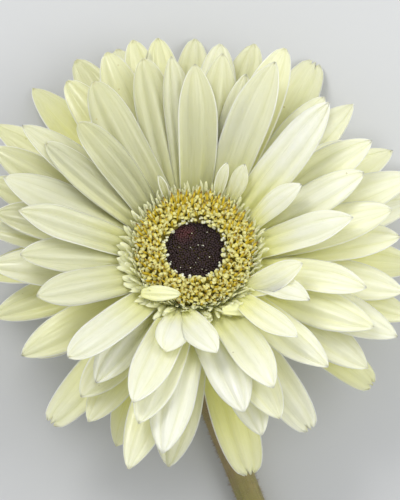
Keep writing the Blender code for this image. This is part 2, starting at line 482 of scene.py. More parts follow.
T = Tip
ROUND = End.ROUND
TOOTHED = End.TOOTHED
PETAL_ROWS: tuple[PetalRow, ...] = (
    PetalRow(
        "outer", 15.0, -9.2, 0.0, -27.0, 10.5, 0.85,
        tips=(
            T(90, 54, 10.5, -2.6, ROUND), T(57.5, 57, 12.0, -1.2, TOOTHED), T(27, 56, 11.0), T(356, 56, 11.0),
            T(323, 55.5, 10.0, 0, TOOTHED), T(284, 57, 11.5, 0, TOOTHED, -4.0), T(248, 52),
            T(213, 48, 11.0), T(186, 54, 11.0), T(161, 55), T(135, 58.5, 10.5, 3.2), T(111, 55, 11.0, -1.2, ROUND),
        ),
        spread=1.03,
    ),
    PetalRow(
        "second", 15.0, -8.2, 6.0, -12.0, 10.5, 0.60,
        tips=(
            T(74, 54, 11.0, 0, ROUND), T(43, 54), T(13, 57), T(343, 56), T(303, 52, 10.5, 0, TOOTHED),
            T(263, 53, 12.0, 0, End.POINTED, 5.0), T(230, 55, 10.5, 0, TOOTHED), T(198, 52), T(173, 54),
            T(148, 59), T(122, 56.5, 11.0, 0, ROUND),
        ),
        spread=1.03,
    ),
    PetalRow(
        "under_third", 15.0, -7.2, 12.5, -5.0, 10.5, 0.55,
        more=(
            T(83, 52, 11.0, 0, ROUND), T(50, 50), T(19, 57), T(349, 52), T(326, 51), T(238, 49), T(211, 49.5),
            T(169, 50), T(127, 53, 11.0, 0, ROUND), T(100, 54, 10.5, 0, ROUND), T(106.5, 54.8, 10.5, 0, ROUND),
        ),
        spread=1.025,
    ),
    PetalRow(
        "third", 15.0, -6.2, 19.0, 1.0, 10.5, 0.42,
        tips=(T(66, 55, 11.0, 0, ROUND), T(253, 55), T(232, 45), T(153, 56)),
        more=(T(34, 48), T(4, 50.5), T(337, 53.5), T(290, 47.5), T(184, 50), T(114, 54, 11.0, 0, ROUND)),
        claw=0.62,
        spread=1.02,
    ),
    PetalRow(
        "fourth", 15.0, -5.2, 26.0, 8.0, 10.5, 0.25,
        tips=(
            T(82, 50), T(32, 52), T(12, 50), T(337, 48), T(297, 46), T(261, 50, 11.3, 0, End.POINTED, 6.0),
            T(233, 40, 9.5, -12), T(159, 51), T(105, 50, 10.5, 0, ROUND),
        ),
        claw=0.7,
    ),
    PetalRow(
        "under_fifth", 15.0, -4.7, 30.0, 11.0, 8.0, 0.25,
        more=(T(74, 46, 8.0), T(144, 53, 9.0), T(97, 49, 8.0)),
        claw=0.75,
    ),
    PetalRow(
        "fifth", 15.0, -4.2, 34.0, 14.0, 10.0, 0.12,
        tips=(
            T(90, 46.5), T(67, 51, 10.8), T(25, 46, 9.5), T(348, 43, 8.5), T(319, 43, 9.5),
            T(287, 41, 10.8, 0, End.POINTED, -14.0), T(252, 44, 10.0, 0, End.POINTED, 4.0), T(181, 43, 9.5),
            T(144, 45.5, 8.0, 0, ROUND), T(121, 49, 11.0, 0, ROUND),
        ),
        claw=0.75,
    ),
    PetalRow(
        "inner", 15.2, -3.2, 42.0, 22.0, 9.5, 0.06,
        tips=(
            T(132, 42.5, 8.5, 0, ROUND), T(167, 44, 8.5), T(196, 40), T(220, 40, 8.8, 0, ROUND),
            T(248, 39.5, 10.0, 0, End.POINTED, 5.0), T(300, 38, 9.5, 0, End.POINTED, -6.0), T(12, 39.5, 8.5),
            T(48, 49, 10.3),
        ),
        claw=0.75,
    ),
    PetalRow(
        "short", 15.4, -1.5, 54.0, 34.0, 6.5, 0.05,
        more=(
            T(253, 25, 8.5, 0, End.POINTED, 2.0), T(282, 25.5, 7.5, 0, End.POINTED, -24.0), T(320, 32, 6.5),
            T(337, 30, 6.0), T(351, 26.5, 6.8, 0, End.POINTED, -26.0), T(32, 30.5, 6.0), T(60, 24.5, 4.5),
            T(70, 23, 3.0), T(116, 20.7, 2.0),
        ),
        groove=0.25,
    ),
)


class RayPetals:
    """Every ray petal of the flower, each a piece of its own."""

    def __init__(self, rows: Sequence[PetalRow] = PETAL_ROWS) -> None:
        """Keep the rows that will be built."""
        self.rows = rows
        self.draw = random.Random(PETAL_SEED)

    def build(self, material: bpy.types.Material) -> None:
        """Build and dress the petals, row by row.

        Args:
            material: The petals' finish.
        """
        for row in self.rows:
            for number, tip in enumerate(row.tips + row.more, start=1):
                seed = self.draw.random()
                name = f"petal_{row.name}_{number:02d}"
                nodes = [name] if number <= len(row.tips) else []
                label = name if nodes else f"ray_{row.name}_{number:02d}"
                mesh = blade_mesh(label, [row.blade(tip, seed)])
                dress(place(mesh), material, nodes)


# ---------------------------------------------------------------------------------------------
# The disc: dark eye, florets, anthers and fringe
# ---------------------------------------------------------------------------------------------


@dataclass(frozen=True)
class Lump:
    """A small rounded body of the disc, such as a bud or an anther, before it is placed."""

    sides: int
    profile: tuple[tuple[float, float], ...]

    def template(self) -> tuple[np.ndarray, list[list[int]], np.ndarray]:
        """Turn the profile round its axis.

        Returns:
            The points, the faces, and each point's share of the height.
        """
        points: list[tuple[float, float, float]] = []
        heights: list[float] = []
        top = self.profile[-1][1]
        low = self.profile[0][1]
        for radius, height in self.profile:
            for step in range(self.sides):
                angle = math.tau * step / self.sides
                points.append((radius * math.cos(angle), radius * math.sin(angle), height))
                heights.append((height - low) / (top - low))
        faces: list[list[int]] = []
        for ring in range(len(self.profile) - 1):
            for step in range(self.sides):
                a = ring * self.sides + step
                b = ring * self.sides + (step + 1) % self.sides
                faces.append([a, b, b + self.sides, a + self.sides])
        faces.append(list(reversed(range(self.sides))))
        last = (len(self.profile) - 1) * self.sides
        faces.append([last + step for step in range(self.sides)])
        return np.array(points), faces, np.array(heights)


def scatter(name: str, lump: Lump, places: Sequence[Matrix], kin: Sequence[float]) -> bpy.types.Mesh:
    """Copy a lump to many places in one mesh, in metres, in the head's frame.

    Args:
        name: The mesh's name.
        lump: What to copy.
        places: A matrix in mm for each copy.
        kin: A number from 0 to 1 for each copy.

    Returns:
        The mesh, with the point attributes `kin` and `height`.
    """
    base, faces, heights = lump.template()
    points: list[np.ndarray] = []
    all_faces: list[list[int]] = []
    for number, matrix in enumerate(places):
        m = np.array(matrix)
        points.append(base @ m[:3, :3].T + m[:3, 3])
        all_faces += [[i + number * len(base) for i in face] for face in faces]
    mesh = mesh_of(name, np.concatenate(points), all_faces)
    paint(mesh, "kin", np.repeat(np.array(kin), len(base)))
    paint(mesh, "height", np.tile(heights, len(places)))
    return mesh


def standing(at: Vector, lean: Vector, spin: float, size: float, stretch: float = 1.0) -> Matrix:
    """A matrix that stands a lump somewhere.

    Args:
        at: Its place in mm.
        lean: The way its axis points.
        spin: Its turn about that axis.
        size: Its scale.
        stretch: Its extra scale along the axis.

    Returns:
        The matrix.
    """
    turn = lean.to_track_quat("Z", "Y").to_matrix().to_4x4()
    scale = Matrix.Diagonal((size, size, size * stretch, 1.0))
    return Matrix.Translation(at) @ turn @ Matrix.Rotation(spin, 4, "Z") @ scale


def spiral(count: int, inner: float, outer: float) -> list[tuple[float, float]]:
    """Places on a sunflower spiral.

    Args:
        count: How many places.
        inner: The least radius.
        outer: The greatest radius.

    Returns:
        The radius and azimuth of each place.
    """
    area = outer**2 - inner**2
    return [
        (math.sqrt(inner**2 + area * (i + 0.5) / count), (i * GOLDEN_ANGLE) % math.tau)
        for i in range(count)
    ]


BUD = Lump(7, ((0.20, -0.5), (0.44, -0.1), (0.46, 0.15), (0.34, 0.42), (0.14, 0.56)))
ANTHER = Lump(7, ((0.24, -1.0), (0.30, 0.0), (0.34, 0.9), (0.32, 1.75), (0.16, 2.15)))
GRAIN = Lump(6, ((0.06, -0.10), (0.13, -0.04), (0.13, 0.04), (0.06, 0.10)))


@dataclass
class Disc:
    """The middle of the flower."""

    eye_radius: float = 7.55
    ring_inner: float = 7.3
    ring_outer: float = 14.4
    eye_buds: int = 530
    ring_florets: int = 300
    rim_rays: tuple[tuple[float, float, float, float, float, float], ...] = (
        (222.0, 354.0, 10.2, 4.0, 26.0, 0.3),
        (292.0, 8.0, 10.0, 3.2, 2.0, 0.7),
    )
    rim_radius: float = 18.0
    rim_height: float = 2.4
    grains: int = 16
    draw: random.Random = field(default_factory=lambda: random.Random(DISC_SEED))

    def ring_height(self, radius: float) -> float:
        """Height of the floret ring's surface: a low dome that rises from the eye and falls outside."""
        share = (radius - self.ring_inner) / (self.ring_outer - self.ring_inner)
        return 0.1 + 1.3 * math.sin(math.pi * min(max(share, 0.0), 1.0) ** 0.8) + 0.3 * share

    def build_eye(self, material: bpy.types.Material) -> None:
        """Pack the closed dark florets in a spiral over a low dome."""
        places: list[Matrix] = []
        kin: list[float] = []
        for radius, azimuth in spiral(self.eye_buds, 0.0, self.eye_radius):
            height = -0.15 - 0.55 * (radius / self.eye_radius) ** 2 + self.draw.uniform(-0.08, 0.08)
            at = polar(radius, azimuth, height)
            at += Vector((self.draw.uniform(-0.14, 0.14), self.draw.uniform(-0.14, 0.14), 0.0))
            lean = Vector((0.04 * at.x, 0.04 * at.y, 1.0))
            places.append(standing(at, lean, self.draw.uniform(0, 6), self.draw.uniform(0.66, 0.82)))
            kin.append(self.draw.random())
        mesh = scatter("dark_eye_florets", BUD, places, kin)
        dress(place(mesh), material, ["dark_eye"])

    def build_grains(self, material: bpy.types.Material) -> None:
        """Drop a few pollen grains on the dark eye."""
        places: list[Matrix] = []
        kin: list[float] = []
        for _ in range(self.grains):
            radius = self.eye_radius * 0.9 * math.sqrt(self.draw.random())
            azimuth = self.draw.uniform(0, math.tau)
            at = polar(radius, azimuth, 0.18)
            places.append(standing(at, Vector((0, 0, 1)), 0.0, self.draw.uniform(0.7, 1.3)))
            kin.append(self.draw.random())
        dress(place(scatter("pollen_grains", GRAIN, places, kin)), material)

    def build_bed(self, material: bpy.types.Material) -> None:
        """Make the dark floor that shows between the florets: a turned, bumpy cushion."""
        profile = (
            (0.0, -1.5), (4.0, -1.5), (6.8, -1.4), (7.7, -0.3), (11.0, 0.5), (13.8, 0.2), (14.2, -0.6),
            (14.2, -1.7), (0.0, -1.7),
        )
        dress(place(turned("floret_bed", profile, 72)), material, ["floret_ring"])

    def build_florets(
        self, chain: bpy.types.Material, lobes: bpy.types.Material, anthers: bpy.types.Material
    ) -> None:
        """Fill the ring: cream buds by the eye, then open florets with golden anthers.

        Args:
            chain: The finish of the buds that edge the eye.
            lobes: The finish of the corolla lobes.
            anthers: The finish of the anthers.
        """
        buds: list[Matrix] = []
        bud_kin: list[float] = []
        rods: list[Matrix] = []
        rod_kin: list[float] = []
        straps: list[Blade] = []
        for radius, azimuth in spiral(self.ring_florets, self.ring_inner, self.ring_outer):
            out = polar(1.0, azimuth)
            side = Vector((-out.y, out.x, 0.0))
            share = (radius - self.ring_inner) / (self.ring_outer - self.ring_inner)
            at = out * radius
            at.z = self.ring_height(radius)
            sway = side * self.draw.uniform(-0.35, 0.35)
            if share < 0.16:
                for _ in range(3):
                    lean = Vector((0, 0, 1.0)) - out * self.draw.uniform(0.2, 1.1)
                    lean += side * self.draw.uniform(-0.7, 0.7)
                    spot = at - out * self.draw.uniform(-0.3, 0.4) + side * self.draw.uniform(-0.45, 0.45)
                    size = self.draw.uniform(0.5, 1.05)
                    buds.append(standing(spot, lean, self.draw.uniform(0, 6), size, self.draw.uniform(0.9, 1.8)))
                    bud_kin.append(self.draw.random())
                if self.draw.random() < 0.4:
                    straps += self.corolla(at + out * 0.3, share)
                continue
            lean = Vector((0, 0.22, 1.0)) + out * (0.95 * share - 0.15 + self.draw.uniform(-0.2, 0.2)) + sway
            tall = 0.35 + 0.45 * max(0.0, out.y) * self.draw.random()
            if self.draw.random() < 0.92:
                rods.append(
                    standing(at, lean, self.draw.uniform(0, 6), self.draw.uniform(0.62, 0.95), 0.9 + tall * share)
                )
                rod_kin.append(self.draw.random())
            straps += self.corolla(at, share)
        dress(place(scatter("floret_buds", BUD, buds, bud_kin)), chain)
        dress(place(scatter("anthers", ANTHER, rods, rod_kin)), anthers)
        dress(place(blade_mesh("corolla_lobes", straps)), lobes)

    def corolla(self, at: Vector, share: float) -> list[Blade]:
        """The little straps that curl out round one floret's anthers.

        Args:
            at: The floret's place in mm.
            share: Its place across the ring, from 0 at the eye to 1 outside.

        Returns:
            Its lobes.
        """
        lobes: list[Blade] = []
        start = self.draw.uniform(0, math.tau)
        count = 2 if share < 0.8 else 3
        for number in range(count):
            angle = start + math.tau * number / count + self.draw.uniform(-0.4, 0.4)
            outwards = polar(1.0, angle)
            lobes.append(
                Blade(
                    foot=at + outwards * 0.22 + Vector((0.0, 0.0, -0.25)),
                    outwards=outwards,
                    length=self.draw.uniform(1.3, 2.2),
                    width=self.draw.uniform(0.7, 1.2),
                    rise_foot=math.radians(78),
                    rise_tip=math.radians(self.draw.uniform(-45, 30)),
                    camber=0.10,
                    claw=0.7,
                    end=self.draw.choice((End.ROUND, End.POINTED)),
                    twist=self.draw.uniform(-0.6, 0.6),
                    groove=0.0,
                    ripple=0.04,
                    thickness=0.14,
                    along=6,
                    across=3,
                    tone=self.draw.random(),
                    seed=self.draw.random(),
                )
            )
        return lobes

    def build_fringe(self, material: bpy.types.Material) -> None:
        """Stand short straps round the edge of the disc, steeper on the near side.

        Args:
            material: The straps' finish.
        """
        straps: list[Blade] = []
        rows = (
            (13.9, -0.7, 78, 3.4, 0.6, 84.0, 76.0),
            (14.3, -1.0, 76, 4.4, 0.7, 76.0, 70.0),
            (14.7, -1.5, 72, 5.4, 0.85, 69.0, 66.0),
            (15.1, -2.1, 64, 6.2, 1.1, 62.0, 62.0),
            (15.6, -1.6, 60, 5.0, 1.4, 48.0, 30.0),
            (16.2, -1.4, 60, 5.0, 1.4, 36.0, 12.0),
        )
        for radius, height, count, length, width, first, last in rows:
            for number in range(count):
                azimuth = math.tau * (number + self.draw.uniform(-0.3, 0.3)) / count
                behind = max(0.0, math.sin(azimuth)) ** 0.6
                if radius > 15.4 and math.sin(azimuth + 0.35) > -0.1:
                    continue
                rise_foot = first + (60.0 - first) * behind
                rise_tip = last + (44.0 - last) * behind
                aim = azimuth + self.draw.uniform(-0.35, 0.35)
                outwards = Vector((math.cos(aim), math.sin(aim) + 0.5, 0.0))
                straps.append(
                    Blade(
                        foot=polar(radius, azimuth, height),
                        outwards=outwards,
                        length=length * self.draw.uniform(0.75, 1.12) * (1.0 - 0.3 * behind),
                        width=width * self.draw.uniform(0.7, 1.3) * (1.0 - 0.35 * behind),
                        rise_foot=math.radians(rise_foot),
                        rise_tip=math.radians(rise_tip + self.draw.uniform(-25, 20) * (1.0 - 0.7 * behind)),
                        camber=0.22,
                        claw=0.8,
                        widest=0.45,
                        end=self.draw.choice((End.POINTED, End.POINTED, End.TOOTHED)),
                        bow=self.draw.uniform(-0.4, 0.4),
                        twist=self.draw.uniform(-0.45, 0.45),
                        groove=0.10,
                        ripple=0.12,
                        curl=self.draw.uniform(-0.1, 0.3),
                        thickness=0.12,
                        along=10,
                        across=5,
                        tone=self.draw.random(),
                        seed=self.draw.random(),
                    )
                )
        straps += self.folded_rays()
        dress(place(blade_mesh("fringe_straps", straps)), material, ["ray_fringe"])

    def folded_rays(self) -> list[Blade]:
        """The small ray petals that lie along the near rim instead of pointing away from it."""
        rays: list[Blade] = []
        for bearing, aim, length, width, rise, seed in self.rim_rays:
            azimuth, heading = math.radians(bearing), math.radians(aim)
            rays.append(
                Blade(
                    foot=polar(self.rim_radius, azimuth, self.rim_height),
                    outwards=polar(1.0, heading),
                    length=length,
                    width=width,
                    rise_foot=math.radians(rise),
                    rise_tip=math.radians(rise - 30.0),
                    camber=0.9,
                    claw=0.5,
                    widest=0.42,
                    end=End.POINTED,
                    twist=math.radians(-28.0),
                    groove=0.4,
                    ripple=0.35,
                    curl=0.5,
                    thickness=0.16,
                    along=20,
                    across=12,
                    tone=1.0,
                    seed=seed,
                )
            )
        return rays


# ---------------------------------------------------------------------------------------------
# Under the head, and the stem
# ---------------------------------------------------------------------------------------------


@dataclass
class Involucre:
    """The cup of overlapping green bracts under the head."""

    rows: tuple[tuple[float, float, int, float, float, float, float], ...] = (
        (12.0, -12.6, 22, 8.2, 3.6, 16.0, 4.0),
        (8.6, -14.1, 18, 9.6, 3.6, 24.0, 6.0),
        (5.0, -15.2, 14, 8.6, 3.4, 22.0, 8.0),
    )
    draw: random.Random = field(default_factory=lambda: random.Random(BRACT_SEED))

    def build(self, material: bpy.types.Material) -> None:
        """Build the bracts as one piece and the cup under them as another.

        Args:
            material: The bracts' finish.
        """
        bracts: list[Blade] = []
        for radius, height, count, length, width, first, last in self.rows:
            for number in range(count):
                azimuth = math.tau * (number + self.draw.uniform(-0.2, 0.2)) / count
                outwards = polar(1.0, azimuth)
                foot = outwards * radius
                foot.z = height
                bracts.append(
                    Blade(
                        foot=foot,
                        outwards=outwards,
                        length=length * self.draw.uniform(0.9, 1.05),
                        width=width,
                        rise_foot=math.radians(first),
                        rise_tip=math.radians(last + self.draw.uniform(-4, 2)),
                        camber=-0.35,
                        claw=0.8,
                        widest=0.3,
                        end=End.POINTED,
                        groove=0.0,
                        ripple=0.05,
                        thickness=0.32,
                        along=12,
                        across=6,
                        seed=self.draw.random(),
                    )
                )
        dress(place(blade_mesh("bracts", bracts)), material)
        self.build_cup(material)

    def build_cup(self, material: bpy.types.Material) -> None:
        """Make the fleshy cup that the bracts grow on.

        Args:
            material: The cup's finish.
        """
        profile = (
            (14.9, -11.4), (15.6, -12.0), (14.0, -13.3), (11.0, -14.6), (7.5, -15.3), (4.6, -15.6),
            (0.0, -15.6), (0.0, -13.8), (7.1, -13.4), (12.3, -12.0), (14.0, -10.9),
        )
        dress(place(turned("bract_cup", profile, 60, closed=True)), material, ["involucre"])


@dataclass
class Stem:
    """The stalk: its neck turns from the head's axis down to the table, then it lies there."""

    radius: float = 3.55
    start: float = 15.7
    route: tuple[tuple[float, float], ...] = (
        (0.5, -27.0), (4.4, -40.0), (14.8, -66.0), (29.5, -105.0), (44.0, -147.0), (67.0, -222.0),
        (86.0, -297.0), (98.0, -366.0),
    )
    sides: int = 40
    rings: int = 420
    hairs: int = 20000
    hair_radius: float = 0.045
    hair_sway: float = 0.45
    neck_points: int = 4
    points_per_span: int = 24

    def corners(self) -> list[Vector]:
        """The route's own points in mm: those down the neck, then those along the table."""
        top = HEAD.centre / MM - HEAD.axis() * self.start
        fall = math.pi / 2 - HEAD.tilt
        bend = (top.z - self.radius) / (1.0 - math.cos(fall))
        neck: list[Vector] = []
        for step in range(self.neck_points):
            angle = fall * step / self.neck_points
            run = bend * (math.sin(fall) - math.sin(fall - angle))
            drop = bend * (math.cos(fall - angle) - math.cos(fall))
            neck.append(Vector((top.x, top.y - run, top.z - drop)))
        centre = HEAD.centre / MM
        return neck + [Vector((centre.x + x, centre.y + y, self.radius)) for x, y in self.route]

    def line(self) -> np.ndarray:
        """Points evenly spread along the smooth route, in mm."""
        points = self.corners()
        padded = [points[0] * 2 - points[1], *points, points[-1] * 2 - points[-2]]
        curve: list[Vector] = []
        for before, start, end, after in zip(padded, padded[1:], padded[2:], padded[3:]):
            for step in range(self.points_per_span):
                t = step / self.points_per_span
                curve.append(
                    0.5
                    * (
                        2 * start
                        + (end - before) * t
                        + (2 * before - 5 * start + 4 * end - after) * t**2
                        + (3 * start - before - 3 * end + after) * t**3
                    )
                )
        curve.append(points[-1])
        dense = np.array(curve)
        gone = np.concatenate([[0.0], np.cumsum(np.linalg.norm(np.diff(dense, axis=0), axis=1))])
        want = np.linspace(0.0, gone[-1], self.rings)
        return np.stack([np.interp(want, gone, dense[:, k]) for k in range(3)], -1)

    def frames(self) -> tuple[np.ndarray, np.ndarray, np.ndarray, np.ndarray]:
        """The route with two directions across it at each point.

        Returns:
            The points, one direction across, the other across, and the direction along.
        """
        line = self.line()
        along = np.gradient(line, axis=0)
        along /= np.linalg.norm(along, axis=1, keepdims=True)
        across = np.cross(along, (1.0, 0.0, 0.0))
        across /= np.linalg.norm(across, axis=1, keepdims=True)
        other = np.cross(along, across)
        return line, across, other, along

    def skin(self, angle: np.ndarray, share: np.ndarray) -> np.ndarray:
        """The stalk's radius: faint ribs, a slight swelling under the head.

        Args:
            angle: Angles round it.
            share: Shares of its length.

        Returns:
            The radius in mm.
        """
        ribs = 0.07 * np.cos(9 * angle + 2.5 * np.sin(9.0 * share)) + 0.04 * np.cos(5 * angle - 6.0 * share)
        swelling = 0.10 * np.exp(-((share / 0.02) ** 2))
        uneven = 0.05 * np.sin(41.0 * share + 2 * angle)
        return self.radius - 0.12 + ribs + swelling + uneven

    def build(self, skin: bpy.types.Material, hair: bpy.types.Material) -> None:
        """Build the stalk and its hairs.

        Args:
            skin: The stalk's finish.
            hair: The hairs' finish.
        """
        line, across, other, _ = self.frames()
        share = np.linspace(0.0, 1.0, self.rings)[:, None]
        angle = np.linspace(0.0, math.tau, self.sides, endpoint=False)[None, :]
        radius = self.skin(angle, share)[..., None]
        ring = line[:, None, :] + radius * (
            np.cos(angle)[..., None] * across[:, None, :] + np.sin(angle)[..., None] * other[:, None, :]
        )
        ends = [line[0], line[-1]]
        points = np.concatenate([ring.reshape(-1, 3), ends])
        number = np.arange(self.rings * self.sides).reshape(self.rings, self.sides)
        after = np.roll(number, -1, axis=1)
        quads = np.stack([number[:-1], after[:-1], after[1:], number[1:]], -1).reshape(-1, 4).tolist()
        first, last = self.rings * self.sides, self.rings * self.sides + 1
        caps = [[first, b, a] for a, b in zip(number[0], after[0])]
        caps += [[last, a, b] for a, b in zip(number[-1], after[-1])]
        mesh = mesh_of("stalk", points, quads + [[int(i) for i in cap] for cap in caps], outwards=True)
        marks = np.stack(np.broadcast_arrays(np.cos(angle), share, np.sin(angle)), -1).reshape(-1, 3)
        marks = np.concatenate([marks, [[0.0, 0.0, 0.0], [0.0, 1.0, 0.0]]])
        paint(mesh, "stalk", marks)
        dress(place(mesh, in_head=False), skin, ["stem"])
        self.build_hairs(hair)

    def build_hairs(self, material: bpy.types.Material) -> None:
        """Stand short soft hairs all over the stalk.

        Args:
            material: The hairs' finish.
        """
        line, across, other, along = self.frames()
        rng = np.random.default_rng(HAIR_SEED)
        at = rng.integers(2, self.rings - 2, self.hairs)
        angle = rng.uniform(0.0, math.tau, self.hairs)
        out = np.cos(angle)[:, None] * across[at] + np.sin(angle)[:, None] * other[at]
        side = np.cross(along[at], out)
        radius = self.skin(angle, at / self.rings)[:, None]
        foot = line[at] + out * (radius - 0.05) + along[at] * rng.uniform(-0.5, 0.5, (self.hairs, 1))
        length = rng.uniform(0.4, 1.15, (self.hairs, 1))
        clear = np.clip((foot[:, 2:3] + out[:, 2:3] * length) / 0.05, 0.0, 1.0)
        length = length * clear
        lean = out + along[at] * rng.normal(0.0, self.hair_sway, (self.hairs, 1))
        lean = lean + side * rng.normal(0.0, self.hair_sway, (self.hairs, 1))
        lean /= np.linalg.norm(lean, axis=1, keepdims=True)
        tip = foot + lean * length
        wide = self.hair_radius
        behind = foot - side * wide * 0.5
        corners = np.stack([foot + side * wide, behind + along[at] * wide, behind - along[at] * wide, tip], 1)
        corners[..., 2] = np.maximum(corners[..., 2], 0.02)
        base = np.arange(self.hairs)[:, None] * 4
        faces = np.concatenate([base + np.array(f) for f in ((0, 1, 3), (1, 2, 3), (2, 0, 3), (0, 2, 1))])
        dress(place(mesh_of("stem_hairs", corners.reshape(-1, 3), faces.tolist()), in_head=False), material)


# ---------------------------------------------------------------------------------------------
# Materials
# ---------------------------------------------------------------------------------------------


def rgba(colour: Socket) -> Socket:
    """A colour with its alpha, or a socket as it is."""
    return colour if isinstance(colour, bpy.types.NodeSocket) else (*colour[:3], 1.0)


class Graph:
    """Writes shader nodes into a material or a node group."""

    def __init__(self, tree: bpy.types.NodeTree) -> None:
        """Keep the tree to write into."""
        self.tree = tree

    def add(self, kind: str, sockets: dict[Union[str, int], Socket], **settings: object) -> bpy.types.Node:
        """Add a node.

        Args:
            kind: The node's type.
            sockets: A value or an output socket for each input, by name or number.
            **settings: The node's own properties.

        Returns:
            The node.
        """
        node = self.tree.nodes.new(kind)
        for name, value in settings.items():
            setattr(node, name, value)
        for key, value in sockets.items():
            if isinstance(value, bpy.types.NodeSocket):
                self.tree.links.new(value, node.inputs[key])
            else:
                node.inputs[key].default_value = value
        return node

    def maths(self, operation: str, a: Socket, b: Socket = 0.0, clamp: bool = False) -> bpy.types.NodeSocket:
        """A Math node's output for two values."""
        return self.add("ShaderNodeMath", {0: a, 1: b}, operation=operation, use_clamp=clamp).outputs[0]

    def spread(
        self, value: Socket, low: float, high: float, to: tuple[float, float] = (0.0, 1.0)
    ) -> bpy.types.NodeSocket:
        """Map a value smoothly from one span to another."""
        node = self.add(
            "ShaderNodeMapRange",
            {"Value": value, "From Min": low, "From Max": high, "To Min": to[0], "To Max": to[1]},
            interpolation_type="SMOOTHSTEP",
        )
        return node.outputs["Result"]

    def blend(self, factor: Socket, a: Socket, b: Socket) -> bpy.types.NodeSocket:
        """Mix two colours."""
        return self.add("ShaderNodeMix", {0: factor, 6: rgba(a), 7: rgba(b)}, data_type="RGBA").outputs[2]

    def ramp(self, value: Socket, stops: Sequence[tuple[float, Colour]]) -> bpy.types.NodeSocket:
        """A colour ramp's output for stops of place and colour."""
        node = self.add("ShaderNodeValToRGB", {0: value})
        band = node.color_ramp.elements
        while len(band) < len(stops):
            band.new(0.5)
        for element, (at, colour) in zip(band, stops):
            element.position = at
            element.color = (*colour, 1.0)
        return node.outputs["Color"]

    def attribute(self, name: str) -> bpy.types.Node:
        """An attribute of the mesh."""
        return self.add("ShaderNodeAttribute", {}, attribute_name=name)

    def group(self, shared: bpy.types.NodeTree, sockets: dict[Union[str, int], Socket]) -> bpy.types.Node:
        """Place a shared group with its own values."""
        return self.add("ShaderNodeGroup", sockets, node_tree=shared)


class Skin(Graph):
    """A material's graph and the Principled shader that it feeds."""

    def __init__(self, name: str) -> None:
        """Begin the material."""
        self.material = bpy.data.materials.new(name)
        self.material.use_nodes = True
        super().__init__(self.material.node_tree)
        self.shader = self.tree.nodes["Principled BSDF"]

    def feed(self, socket: str, value: bpy.types.NodeSocket) -> None:
        """Let something that changes over the surface drive a socket."""
        self.tree.links.new(value, self.shader.inputs[socket])

    def roughen(self, value: Socket, low: float, high: float) -> None:
        """Let the roughness run from low to high with a value."""
        self.feed("Roughness", self.spread(value, 0.0, 1.0, (low, high)))

    def emboss(self, relief: bpy.types.NodeTree, sockets: dict[Union[str, int], Socket]) -> None:
        """Give the surface its fine relief."""
        self.feed("Normal", self.group(relief, sockets).outputs["Normal"])

    def fix(self, **values: Socket) -> None:
        """Set sockets that are the same all over, named with _ for each space."""
        for name, value in values.items():
            self.shader.inputs[name.replace("_", " ")].default_value = value


def start_group(
    name: str, inputs: Sequence[tuple[str, str, object]], outputs: Sequence[tuple[str, str]]
) -> tuple[Graph, bpy.types.Node, bpy.types.Node]:
    """Begin a shared group.

    Args:
        name: Its name.
        inputs: Name, socket type and default of each input.
        outputs: Name and socket type of each output.

    Returns:
        A graph to write into, the group's input node and its output node.
    """
    tree = bpy.data.node_groups.new(name, "ShaderNodeTree")
    for label, kind, default in inputs:
        socket = tree.interface.new_socket(name=label, in_out="INPUT", socket_type=kind)
        socket.default_value = default
    for label, kind in outputs:
        tree.interface.new_socket(name=label, in_out="OUTPUT", socket_type=kind)
    return Graph(tree), tree.nodes.new("NodeGroupInput"), tree.nodes.new("NodeGroupOutput")


